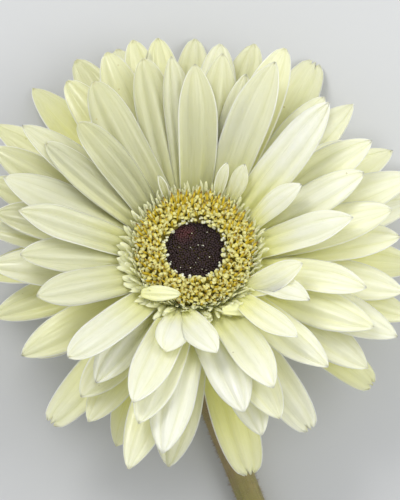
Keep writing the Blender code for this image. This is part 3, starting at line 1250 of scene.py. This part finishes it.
class SharedEffects:
    """The effects that several finishes use, each a shader node group built once."""

    def __init__(self) -> None:
        """Build the groups."""
        self.mottle = self._mottle()
        self.streaks = self._streaks()
        self.relief = self._relief()
        self.freckles = self._freckles()

    @staticmethod
    def _mottle() -> bpy.types.NodeTree:
        """Soft blotches that pull a colour towards another."""
        graph, take, give = start_group(
            "mottle",
            (
                ("Color", "NodeSocketColor", (0.8, 0.8, 0.8, 1.0)),
                ("Blotch", "NodeSocketColor", (0.5, 0.5, 0.4, 1.0)),
                ("Scale", "NodeSocketFloat", 80.0),
                ("Amount", "NodeSocketFloat", 0.2),
            ),
            (("Color", "NodeSocketColor"), ("Mask", "NodeSocketFloat")),
        )
        place_in = graph.add("ShaderNodeTexCoord", {})
        noise = graph.add(
            "ShaderNodeTexNoise",
            {"Vector": place_in.outputs["Object"], "Scale": take.outputs["Scale"], "Detail": 4.0, "Roughness": 0.6},
        )
        mask = graph.spread(noise.outputs["Fac"], 0.35, 0.70)
        strength = graph.maths("MULTIPLY", mask, take.outputs["Amount"], clamp=True)
        graph.tree.links.new(graph.blend(strength, take.outputs["Color"], take.outputs["Blotch"]), give.inputs["Color"])
        graph.tree.links.new(mask, give.inputs["Mask"])
        return graph.tree

    @staticmethod
    def _streaks() -> bpy.types.NodeTree:
        """Fine lines along a blade, from its across and along coordinates."""
        graph, take, give = start_group(
            "streaks",
            (
                ("Across", "NodeSocketFloat", 0.0),
                ("Along", "NodeSocketFloat", 0.0),
                ("Seed", "NodeSocketFloat", 0.0),
                ("Lines", "NodeSocketFloat", 10.0),
                ("Breaks", "NodeSocketFloat", 2.0),
            ),
            (("Value", "NodeSocketFloat"),),
        )
        spot = graph.add(
            "ShaderNodeCombineXYZ",
            {
                0: graph.maths("MULTIPLY", take.outputs["Across"], take.outputs["Lines"]),
                1: graph.maths("MULTIPLY", take.outputs["Along"], take.outputs["Breaks"]),
                2: graph.maths("MULTIPLY", take.outputs["Seed"], 71.0),
            },
        )
        noise = graph.add(
            "ShaderNodeTexNoise", {"Vector": spot.outputs[0], "Scale": 1.0, "Detail": 3.0, "Roughness": 0.55}
        )
        graph.tree.links.new(graph.spread(noise.outputs["Fac"], 0.28, 0.72), give.inputs["Value"])
        return graph.tree

    @staticmethod
    def _relief() -> bpy.types.NodeTree:
        """A soft cellular skin as a normal, on top of a height of the finish's own."""
        graph, take, give = start_group(
            "relief",
            (
                ("Height", "NodeSocketFloat", 0.0),
                ("Cells", "NodeSocketFloat", 2500.0),
                ("Cell Share", "NodeSocketFloat", 0.3),
                ("Strength", "NodeSocketFloat", 0.4),
                ("Distance", "NodeSocketFloat", 0.0001),
            ),
            (("Normal", "NodeSocketVector"),),
        )
        place_in = graph.add("ShaderNodeTexCoord", {})
        cells = graph.add(
            "ShaderNodeTexVoronoi", {"Vector": place_in.outputs["Object"], "Scale": take.outputs["Cells"]}
        )
        share = graph.maths("MULTIPLY", cells.outputs["Distance"], take.outputs["Cell Share"])
        height = graph.maths("ADD", take.outputs["Height"], share)
        bump = graph.add(
            "ShaderNodeBump",
            {"Height": height, "Strength": take.outputs["Strength"], "Distance": take.outputs["Distance"]},
        )
        graph.tree.links.new(bump.outputs["Normal"], give.inputs["Normal"])
        return graph.tree

    @staticmethod
    def _freckles() -> bpy.types.NodeTree:
        """Sparse small specks as a mask."""
        graph, take, give = start_group(
            "freckles",
            (
                ("Scale", "NodeSocketFloat", 300.0),
                ("Size", "NodeSocketFloat", 0.1),
                ("Rarity", "NodeSocketFloat", 0.62),
            ),
            (("Mask", "NodeSocketFloat"),),
        )
        place_in = graph.add("ShaderNodeTexCoord", {})
        dots = graph.add(
            "ShaderNodeTexVoronoi", {"Vector": place_in.outputs["Object"], "Scale": take.outputs["Scale"]}
        )
        near = graph.maths("LESS_THAN", dots.outputs["Distance"], take.outputs["Size"])
        chosen = graph.add("ShaderNodeSeparateColor", {0: dots.outputs["Color"]})
        rare = graph.maths("GREATER_THAN", chosen.outputs[0], take.outputs["Rarity"])
        graph.tree.links.new(graph.maths("MULTIPLY", near, rare), give.inputs["Mask"])
        return graph.tree


@dataclass(frozen=True)
class PetalFinish:
    """Ivory petal: yellow-green at its foot, fine lines, soft light through it; painted highlights on its ridges and
    rim, painted shade in its grooves, near its tip and on one side of the head, and a yellow partly painted as glow on
    the deeper rows.
    """

    foot: Colour = (0.88, 0.86, 0.30)
    lower: Colour = (0.89, 0.885, 0.38)
    blade: Colour = (0.89, 0.90, 0.65)
    tip: Colour = (0.90, 0.91, 0.75)
    # yellow of the deeper rows: partly their own tone, partly painted glow of light through the petals above
    tone_and_glow: Colour = (0.92, 0.90, 0.22)
    # painted highlight colour for the ridges; the next is painted shade colour for the grooves and edges
    ridge_highlight: Colour = (0.92, 0.925, 0.77)
    valley_shade: Colour = (0.72, 0.73, 0.44)
    # painted highlight colour along the petal's edge
    rim: Colour = (0.95, 0.95, 0.80)
    olive: Colour = (0.56, 0.57, 0.28)
    # painted shade colour for the petals on one side of the head
    shade: Colour = (0.41, 0.415, 0.245)
    tip_shade: Colour = (0.60, 0.60, 0.34)
    brown: Colour = (0.40, 0.34, 0.13)
    roughness: float = 0.30

    def make(self, shared: SharedEffects) -> bpy.types.Material:
        """Build the material.

        Args:
            shared: The shared node groups.

        Returns:
            The material.
        """
        skin = Skin("petal_ivory")
        blade = skin.add("ShaderNodeSeparateXYZ", {0: skin.attribute("blade").outputs["Vector"]})
        across, along, tone = blade.outputs
        kin, painted_shade, _ = skin.add("ShaderNodeSeparateXYZ", {0: skin.attribute("kin").outputs["Vector"]}).outputs
        beside = skin.maths("ABSOLUTE", across)
        body = skin.ramp(along, ((0.0, self.foot), (0.22, self.lower), (0.5, self.blade), (1.0, self.tip)))
        lines = skin.group(
            shared.streaks, {"Across": across, "Along": along, "Seed": kin, "Lines": 5.0, "Breaks": 1.4}
        ).outputs["Value"]
        off_groove = skin.maths("ABSOLUTE", skin.maths("SUBTRACT", beside, skin.spread(kin, 0.0, 1.0, (0.34, 0.46))))
        # painted highlight: lighter colour along the ridges between the grooves
        ridge_highlight_mask = skin.maths("MULTIPLY", skin.spread(off_groove, 0.08, 0.30), skin.spread(along, 0.1, 0.6))
        body = skin.blend(skin.maths("MULTIPLY", ridge_highlight_mask, skin.spread(lines, 0.0, 1.0, (0.1, 0.6))), body, self.ridge_highlight)
        # painted shade: darker colour in the grooves and towards the edges
        valley_shade_mask = skin.maths("MAXIMUM", skin.spread(off_groove, 0.16, 0.0), skin.spread(beside, 0.62, 0.92))
        valley_shade_mask = skin.maths("MULTIPLY", valley_shade_mask, skin.spread(lines, 0.0, 1.0, (1.0, 0.2)))
        body = skin.blend(skin.maths("MULTIPLY", valley_shade_mask, skin.spread(along, 0.2, 0.95, (0.15, 0.55))), body, self.valley_shade)
        # partly painted glow: the deeper rows are yellowed most from the foot to the middle, partly their own tone
        tone_and_glow_mask = skin.maths("MULTIPLY", tone, skin.spread(along, 1.0, 0.45, (0.55, 1.0)))
        body = skin.blend(tone_and_glow_mask, body, self.tone_and_glow)
        # painted shade: the petals on one side of the head are pulled towards the shade colour
        body = skin.blend(skin.maths("MULTIPLY", painted_shade, 0.95), body, self.shade)
        body = skin.blend(skin.maths("MULTIPLY", lines, 0.10), body, self.olive)
        body = skin.group(
            shared.mottle, {"Color": body, "Blotch": (*self.olive, 1.0), "Scale": 70.0, "Amount": 0.16}
        ).outputs["Color"]
        # painted highlight: a near-white line along the petal's edge
        body = skin.blend(skin.maths("MULTIPLY", skin.spread(beside, 0.92, 0.98), 0.75), body, self.rim)
        specks = skin.group(shared.freckles, {"Scale": 210.0, "Size": 0.055, "Rarity": 0.80}).outputs["Mask"]
        # painted shade: a dull olive patch towards the tip, stronger on some petals
        tip_shade_mask = skin.maths("MULTIPLY", skin.spread(along, 0.78, 0.99), skin.spread(beside, 0.85, 0.3))
        tip_shade_mask = skin.maths("MULTIPLY", tip_shade_mask, skin.spread(kin, 0.25, 0.9, (0.1, 0.45)))
        body = skin.blend(tip_shade_mask, body, self.tip_shade)
        worn = skin.maths("MULTIPLY", skin.spread(along, 0.97, 1.0), skin.spread(lines, 0.45, 0.8))
        marks = skin.maths("MULTIPLY", skin.maths("MAXIMUM", specks, worn), 0.5)
        body = skin.blend(marks, body, self.brown)
        skin.feed("Base Color", body)
        skin.roughen(lines, self.roughness - 0.05, self.roughness + 0.10)
        skin.emboss(
            shared.relief, {"Height": lines, "Cells": 2200.0, "Cell Share": 0.10, "Strength": 0.4, "Distance": 0.00018}
        )
        skin.fix(
            Subsurface_Weight=0.9,
            Subsurface_Radius=(1.0, 0.97, 0.8),
            Subsurface_Scale=0.0018,
            IOR=1.5,
            Sheen_Weight=0.08,
        )
        return skin.material


@dataclass(frozen=True)
class FloretFinish:
    """A small part of the disc: a base colour, a tip colour and variation from one to the next."""

    name: str
    base: Colour
    tip: Colour
    other: Colour
    roughness: float = 0.55
    glow: float = 0.2

    def make(self, shared: SharedEffects) -> bpy.types.Material:
        """Build the material.

        Args:
            shared: The shared node groups.

        Returns:
            The material.
        """
        skin = Skin(self.name)
        height = skin.attribute("height").outputs["Fac"]
        kin = skin.attribute("kin").outputs["Fac"]
        body = skin.blend(skin.spread(kin, 0.35, 0.75), self.base, self.other)
        tipped = skin.maths("MULTIPLY", skin.spread(height, 0.70, 0.96), skin.spread(kin, 0.1, 0.5, (0.35, 1.0)))
        body = skin.blend(tipped, body, self.tip)
        body = skin.group(
            shared.mottle, {"Color": body, "Blotch": (*self.base, 1.0), "Scale": 900.0, "Amount": 0.35}
        ).outputs["Color"]
        skin.feed("Base Color", body)
        skin.roughen(kin, self.roughness - 0.08, self.roughness + 0.1)
        skin.emboss(shared.relief, {"Cells": 5000.0, "Cell Share": 1.0, "Strength": 0.5, "Distance": 0.00005})
        skin.fix(Subsurface_Weight=self.glow, Subsurface_Radius=(1.0, 0.8, 0.4), Subsurface_Scale=0.0004)
        return skin.material


@dataclass(frozen=True)
class StrapFinish:
    """Cream straps of the fringe and the corolla lobes."""

    name: str
    foot: Colour
    blade: Colour
    other: Colour
    roughness: float = 0.5

    def make(self, shared: SharedEffects) -> bpy.types.Material:
        """Build the material.

        Args:
            shared: The shared node groups.

        Returns:
            The material.
        """
        skin = Skin(self.name)
        blade = skin.add("ShaderNodeSeparateXYZ", {0: skin.attribute("blade").outputs["Vector"]})
        across, along, tone = blade.outputs
        kin = skin.add("ShaderNodeSeparateXYZ", {0: skin.attribute("kin").outputs["Vector"]}).outputs[0]
        body = skin.ramp(along, ((0.1, self.foot), (0.6, self.blade)))
        body = skin.blend(skin.maths("MULTIPLY", tone, 0.6), body, self.other)
        lines = skin.group(
            shared.streaks, {"Across": across, "Along": along, "Seed": kin, "Lines": 4.0, "Breaks": 1.5}
        ).outputs["Value"]
        body = skin.blend(skin.maths("MULTIPLY", lines, 0.25), body, self.foot)
        skin.feed("Base Color", body)
        skin.roughen(lines, self.roughness - 0.05, self.roughness + 0.1)
        skin.emboss(
            shared.relief, {"Height": lines, "Cells": 4000.0, "Cell Share": 0.2, "Strength": 0.4, "Distance": 0.00006}
        )
        skin.fix(Subsurface_Weight=0.3, Subsurface_Radius=(1.0, 0.9, 0.4), Subsurface_Scale=0.0008)
        return skin.material


@dataclass(frozen=True)
class EyeFinish:
    """Nearly black maroon buds, with a painted reddish highlight on one side of the dome."""

    dark: Colour = (0.016, 0.006, 0.007)
    other: Colour = (0.034, 0.014, 0.014)
    # painted highlight colour for one side of the eye's dome
    sheen_red: Colour = (0.13, 0.030, 0.032)

    def make(self, shared: SharedEffects) -> bpy.types.Material:
        """Build the material.

        Args:
            shared: The shared node groups.

        Returns:
            The material.
        """
        skin = Skin("eye_maroon")
        kin = skin.attribute("kin").outputs["Fac"]
        height = skin.attribute("height").outputs["Fac"]
        body = skin.blend(kin, self.dark, self.other)
        here = skin.add("ShaderNodeTexCoord", {}).outputs["Object"]
        # painted highlight: a soft reddish patch on the upper-left of the eye's dome
        painted_sheen_at = HEAD.matrix() @ (Vector((-2.6, 4.6, 0.0)) * MM)
        away = skin.add("ShaderNodeVectorMath", {0: here, 1: tuple(painted_sheen_at)}, operation="DISTANCE")
        painted_sheen_mask = skin.spread(away.outputs["Value"], 3.6 * MM, 0.6 * MM)
        body = skin.blend(skin.maths("MULTIPLY", painted_sheen_mask, 0.75), body, self.sheen_red)
        body = skin.blend(skin.spread(height, 0.75, 1.0, (0.0, 0.35)), body, self.other)
        body = skin.group(
            shared.mottle, {"Color": body, "Blotch": (*self.dark, 1.0), "Scale": 700.0, "Amount": 0.6}
        ).outputs["Color"]
        skin.feed("Base Color", body)
        skin.roughen(kin, 0.55, 0.75)
        skin.emboss(shared.relief, {"Cells": 6000.0, "Cell Share": 1.0, "Strength": 0.6, "Distance": 0.00005})
        return skin.material


@dataclass(frozen=True)
class GreenFinish:
    """Stem and bract skin: lengthwise fibres in olive greens, paler where it is cut."""

    name: str
    dark: Colour
    light: Colour
    brown: Colour
    cut: Colour = (0.48, 0.52, 0.26)
    pith: Colour = (0.70, 0.72, 0.52)
    roughness: float = 0.5
    stalk: bool = False

    def make(self, shared: SharedEffects) -> bpy.types.Material:
        """Build the material.

        Args:
            shared: The shared node groups.

        Returns:
            The material.
        """
        skin = Skin(self.name)
        source = skin.attribute("stalk" if self.stalk else "blade")
        parts = skin.add("ShaderNodeSeparateXYZ", {0: source.outputs["Vector"]})
        lines = skin.group(
            shared.streaks,
            {
                "Across": parts.outputs[0],
                "Along": parts.outputs[1],
                "Seed": parts.outputs[2],
                "Lines": 7.0,
                "Breaks": 26.0 if self.stalk else 2.0,
            },
        ).outputs["Value"]
        body = skin.blend(lines, self.dark, self.light)
        body = skin.group(
            shared.mottle, {"Color": body, "Blotch": (*self.brown, 1.0), "Scale": 60.0, "Amount": 0.55}
        ).outputs["Color"]
        if self.stalk:
            near_head = skin.spread(parts.outputs[1], 0.22, 0.02)
            body = skin.blend(skin.maths("MULTIPLY", near_head, 0.45), body, self.brown)
            round_x = skin.maths("MULTIPLY", parts.outputs[0], parts.outputs[0])
            round_z = skin.maths("MULTIPLY", parts.outputs[2], parts.outputs[2])
            depth = skin.maths("ADD", round_x, round_z)
            flesh = skin.ramp(depth, ((0.0, self.pith), (0.42, self.cut), (0.62, self.dark), (0.80, self.cut)))
            body = skin.blend(skin.spread(depth, 0.97, 0.86), body, flesh)
        skin.feed("Base Color", body)
        skin.roughen(lines, self.roughness - 0.06, self.roughness + 0.12)
        skin.emboss(
            shared.relief, {"Height": lines, "Cells": 1600.0, "Cell Share": 0.4, "Strength": 0.5, "Distance": 0.00012}
        )
        skin.fix(Subsurface_Weight=0.08, Subsurface_Scale=0.001, Sheen_Weight=0.15)
        return skin.material


@dataclass(frozen=True)
class FleshFinish:
    """Plain soft tissue without a grain, such as the receptacle or the floor between florets."""

    name: str
    body: Colour
    blotch: Colour
    scale: float = 300.0
    roughness: float = 0.7

    def make(self, shared: SharedEffects) -> bpy.types.Material:
        """Build the material.

        Args:
            shared: The shared node groups.

        Returns:
            The material.
        """
        skin = Skin(self.name)
        mottle = skin.group(
            shared.mottle,
            {"Color": (*self.body, 1.0), "Blotch": (*self.blotch, 1.0), "Scale": self.scale, "Amount": 0.8},
        )
        skin.feed("Base Color", mottle.outputs["Color"])
        skin.roughen(mottle.outputs["Mask"], self.roughness - 0.1, self.roughness + 0.1)
        skin.emboss(
            shared.relief,
            {"Height": mottle.outputs["Mask"], "Cells": 1500.0, "Cell Share": 1.0,
             "Strength": 0.6, "Distance": 0.0002},
        )
        return skin.material


# ---------------------------------------------------------------------------------------------
# Table, light and camera
# ---------------------------------------------------------------------------------------------


@dataclass(frozen=True)
class SoftLight:
    """One large soft light, placed from the head's centre in metres."""

    name: str
    offset: tuple[float, float, float]
    size: float
    power: float
    colour: Colour


@dataclass
class Studio:
    """A pale table, soft lights and the camera that looks straight down on the head."""

    table: Colour = (0.58, 0.59, 0.60)
    camera_height: float = 0.7
    view_height: float = 0.125
    view_shift: tuple[float, float] = (1.25, 0.0)
    lights: tuple[SoftLight, ...] = (
        SoftLight("key", (-0.16, 0.28, 0.38), 0.22, 1.2, (1.0, 0.99, 0.96)),
        SoftLight("fill", (0.20, 0.04, 0.24), 0.24, 0.4, (1.0, 1.0, 0.98)),
    )
    sky: Colour = (0.97, 0.98, 1.0)
    sky_strength: float = 0.65

    def build(self) -> None:
        """Build the whole studio."""
        self.build_table()
        for light in self.lights:
            self.build_light(light)
        world = bpy.data.worlds.new("soft_room")
        bpy.context.scene.world = world
        world.use_nodes = True
        world.node_tree.nodes["Background"].inputs["Color"].default_value = (*self.sky, 1.0)
        world.node_tree.nodes["Background"].inputs["Strength"].default_value = self.sky_strength
        bpy.context.scene.view_settings.view_transform = "Standard"
        self.build_camera()

    def build_table(self) -> None:
        """Lay the pale table under the flower."""
        sheet = bmesh.new()
        bmesh.ops.create_grid(sheet, x_segments=1, y_segments=1, size=3.0)
        mesh = bpy.data.meshes.new("table")
        sheet.to_mesh(mesh)
        sheet.free()
        table = bpy.data.objects.new("table", mesh)
        bpy.context.scene.collection.objects.link(table)
        skin = Skin("table_pale")
        skin.fix(Base_Color=(*self.table, 1.0), Roughness=0.8)
        mesh.materials.append(skin.material)

    def build_light(self, light: SoftLight) -> None:
        """Hang one light so that it faces the head.

        Args:
            light: The light.
        """
        lamp = bpy.data.lights.new(light.name, "AREA")
        lamp.shape = "DISK"
        lamp.size = light.size
        lamp.energy = light.power
        lamp.color = light.colour
        holder = bpy.data.objects.new(light.name, lamp)
        holder.location = HEAD.centre + Vector(light.offset)
        holder.rotation_euler = (-Vector(light.offset)).to_track_quat("-Z", "Y").to_euler()
        bpy.context.scene.collection.objects.link(holder)

    def build_camera(self) -> None:
        """Hang the camera over the head, looking straight down."""
        eye = bpy.data.cameras.new("camera")
        eye.sensor_width = 36.0
        eye.lens = eye.sensor_width * self.camera_height / self.view_height
        camera = bpy.data.objects.new("camera", eye)
        shift = Vector((self.view_shift[0] * MM, self.view_shift[1] * MM, self.camera_height))
        camera.location = HEAD.centre + shift
        bpy.context.scene.collection.objects.link(camera)
        bpy.context.scene.camera = camera


def main() -> None:
    """Build the flower, piece by piece."""
    logging.basicConfig(level=logging.INFO, format="%(name)s %(message)s")
    shared = SharedEffects()
    petal = PetalFinish().make(shared)
    lobe = StrapFinish("lobe_cream", (0.42, 0.35, 0.03), (0.80, 0.78, 0.36), (0.70, 0.62, 0.12)).make(shared)
    strap = StrapFinish("fringe_cream", (0.74, 0.72, 0.28), (0.87, 0.875, 0.60), (0.77, 0.79, 0.45)).make(shared)
    bud = FloretFinish("bud_cream", (0.60, 0.58, 0.32), (0.84, 0.85, 0.70), (0.74, 0.74, 0.52)).make(shared)
    gold = FloretFinish("anther_gold", (0.66, 0.50, 0.02), (0.14, 0.07, 0.01), (0.78, 0.62, 0.06)).make(shared)
    bed = FleshFinish("bed_brown", (0.16, 0.12, 0.006), (0.32, 0.27, 0.015), 500.0).make(shared)
    core = FleshFinish("receptacle_green", (0.52, 0.56, 0.24), (0.62, 0.64, 0.36)).make(shared)
    bract = GreenFinish("bract_green", (0.09, 0.15, 0.045), (0.20, 0.27, 0.09), (0.16, 0.13, 0.06)).make(shared)
    skin = GreenFinish(
        "stem_olive", (0.20, 0.185, 0.045), (0.36, 0.335, 0.095), (0.34, 0.22, 0.12), stalk=True
    ).make(shared)
    hair = FleshFinish("hair_pale", (0.43, 0.34, 0.24), (0.56, 0.45, 0.33)).make(shared)

    RayPetals().build(petal)
    disc = Disc()
    disc.build_eye(EyeFinish().make(shared))
    disc.build_grains(bud)
    disc.build_bed(bed)
    disc.build_florets(bud, lobe, gold)
    disc.build_fringe(strap)
    Involucre().build(bract)
    Stem().build(skin, hair)
    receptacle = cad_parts["receptacle"]
    receptacle.data.materials.clear()
    receptacle.data.materials.append(core)
    Studio().build()


if __name__ == "__main__":
    main()
